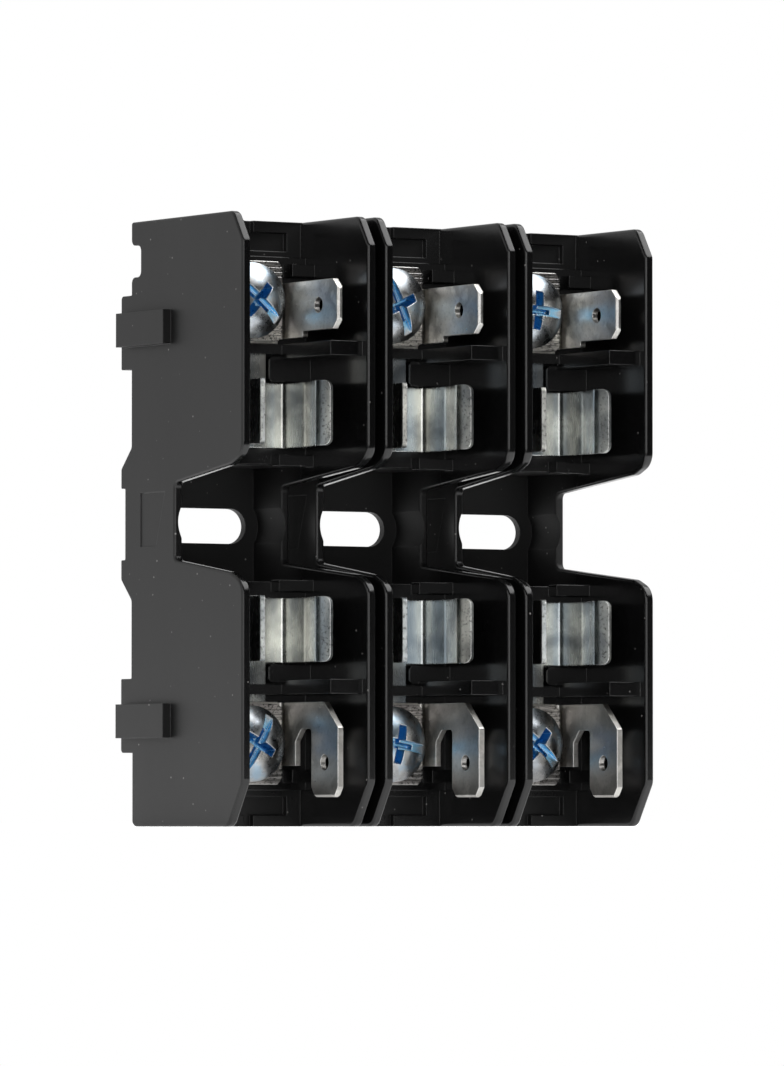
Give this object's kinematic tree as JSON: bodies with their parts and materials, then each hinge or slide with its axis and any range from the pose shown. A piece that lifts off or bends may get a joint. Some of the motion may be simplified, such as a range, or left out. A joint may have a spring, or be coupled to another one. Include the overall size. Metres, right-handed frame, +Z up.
{
  "type": "cartridge fuse holder",
  "caption": "Panel-mounted holder for cartridge fuses, with spring clips, screw terminals and quick-connect tabs between moulded barrier walls.",
  "frame": {"origin": "centre of the mounting slots on the back plane that the feet stand on", "axes": "+X to the right across the poles, +Z up along the fuses, -Y out of the panel towards the user"},
  "size_m": [0.0649, 0.03, 0.0776],
  "materials": {
    "black_moulding": "moulded, fine grain",
    "tin_plated_clip": "bright tin plate",
    "tin_plated_terminal": "satin tin plate",
    "zinc_plate": "zinc plate",
    "blue_zinc_screw": "blue zinc plate",
    "zinc_nut": "zinc plate",
    "zinc_rivet": "zinc plate"
  },
  "bodies": {
    "root": {"housing_left": "black_moulding", "fuse_clip_left_upper": "tin_plated_clip", "terminal_left_upper": "tin_plated_terminal", "nut_left_upper": "zinc_nut", "rivet_left_upper": "zinc_rivet", "fuse_clip_left_lower": "tin_plated_clip", "terminal_left_lower": "tin_plated_terminal", "nut_left_lower": "zinc_nut", "rivet_left_lower": "zinc_rivet", "housing_centre": "black_moulding", "fuse_clip_centre_upper": "tin_plated_clip", "terminal_centre_upper": "tin_plated_terminal", "nut_centre_upper": "zinc_nut", "rivet_centre_upper": "zinc_rivet", "fuse_clip_centre_lower": "tin_plated_clip", "terminal_centre_lower": "tin_plated_terminal", "nut_centre_lower": "zinc_nut", "rivet_centre_lower": "zinc_rivet", "housing_right": "black_moulding", "fuse_clip_right_upper": "tin_plated_clip", "terminal_right_upper": "tin_plated_terminal", "nut_right_upper": "zinc_nut", "rivet_right_upper": "zinc_rivet", "fuse_clip_right_lower": "tin_plated_clip", "terminal_right_lower": "tin_plated_terminal", "nut_right_lower": "zinc_nut", "rivet_right_lower": "zinc_rivet"},
    "clamp_left_upper": {"clamp_plate_left_upper": "zinc_plate"},
    "turning_screw_left_upper": {"screw_left_upper": "blue_zinc_screw"},
    "clamp_left_lower": {"clamp_plate_left_lower": "zinc_plate"},
    "turning_screw_left_lower": {"screw_left_lower": "blue_zinc_screw"},
    "clamp_centre_upper": {"clamp_plate_centre_upper": "zinc_plate"},
    "turning_screw_centre_upper": {"screw_centre_upper": "blue_zinc_screw"},
    "clamp_centre_lower": {"clamp_plate_centre_lower": "zinc_plate"},
    "turning_screw_centre_lower": {"screw_centre_lower": "blue_zinc_screw"},
    "clamp_right_upper": {"clamp_plate_right_upper": "zinc_plate"},
    "turning_screw_right_upper": {"screw_right_upper": "blue_zinc_screw"},
    "clamp_right_lower": {"clamp_plate_right_lower": "zinc_plate"},
    "turning_screw_right_lower": {"screw_right_lower": "blue_zinc_screw"}
  },
  "joints": [
    {"name": "screw_travel_left_upper", "type": "slide", "parent": "root", "child": "clamp_left_upper", "axis": [0, -1, 0], "range_m": [0, 0.003]},
    {"name": "screw_turn_left_upper", "type": "hinge", "parent": "clamp_left_upper", "child": "turning_screw_left_upper", "pos_m": [-0.0225, -0.01738, 0.0283], "axis": [0, -1, 0], "range_deg": [-5, 1366]},
    {"name": "screw_travel_left_lower", "type": "slide", "parent": "root", "child": "clamp_left_lower", "axis": [0, -1, 0], "range_m": [0, 0.003]},
    {"name": "screw_turn_left_lower", "type": "hinge", "parent": "clamp_left_lower", "child": "turning_screw_left_lower", "pos_m": [-0.0225, -0.01738, -0.0283], "axis": [0, -1, 0], "range_deg": [-5, 1366]},
    {"name": "screw_travel_centre_upper", "type": "slide", "parent": "root", "child": "clamp_centre_upper", "axis": [0, -1, 0], "range_m": [0, 0.003]},
    {"name": "screw_turn_centre_upper", "type": "hinge", "parent": "clamp_centre_upper", "child": "turning_screw_centre_upper", "pos_m": [-0.0012, -0.01738, 0.0283], "axis": [0, -1, 0], "range_deg": [-5, 1366]},
    {"name": "screw_travel_centre_lower", "type": "slide", "parent": "root", "child": "clamp_centre_lower", "axis": [0, -1, 0], "range_m": [0, 0.003]},
    {"name": "screw_turn_centre_lower", "type": "hinge", "parent": "clamp_centre_lower", "child": "turning_screw_centre_lower", "pos_m": [-0.0012, -0.01738, -0.0283], "axis": [0, -1, 0], "range_deg": [-5, 1366]},
    {"name": "screw_travel_right_upper", "type": "slide", "parent": "root", "child": "clamp_right_upper", "axis": [0, -1, 0], "range_m": [0, 0.003]},
    {"name": "screw_turn_right_upper", "type": "hinge", "parent": "clamp_right_upper", "child": "turning_screw_right_upper", "pos_m": [0.0201, -0.01738, 0.0283], "axis": [0, -1, 0], "range_deg": [-5, 1366]},
    {"name": "screw_travel_right_lower", "type": "slide", "parent": "root", "child": "clamp_right_lower", "axis": [0, -1, 0], "range_m": [0, 0.003]},
    {"name": "screw_turn_right_lower", "type": "hinge", "parent": "clamp_right_lower", "child": "turning_screw_right_lower", "pos_m": [0.0201, -0.01738, -0.0283], "axis": [0, -1, 0], "range_deg": [-5, 1366]}
  ],
  "couplings": [
    {"joint": "screw_turn_left_upper", "follows": "screw_travel_left_upper", "rad_per_m": 7913.3},
    {"joint": "screw_turn_left_lower", "follows": "screw_travel_left_lower", "rad_per_m": 7913.3},
    {"joint": "screw_turn_centre_upper", "follows": "screw_travel_centre_upper", "rad_per_m": 7913.3},
    {"joint": "screw_turn_centre_lower", "follows": "screw_travel_centre_lower", "rad_per_m": 7913.3},
    {"joint": "screw_turn_right_upper", "follows": "screw_travel_right_upper", "rad_per_m": 7913.3},
    {"joint": "screw_turn_right_lower", "follows": "screw_travel_right_lower", "rad_per_m": 7913.3}
  ]
}
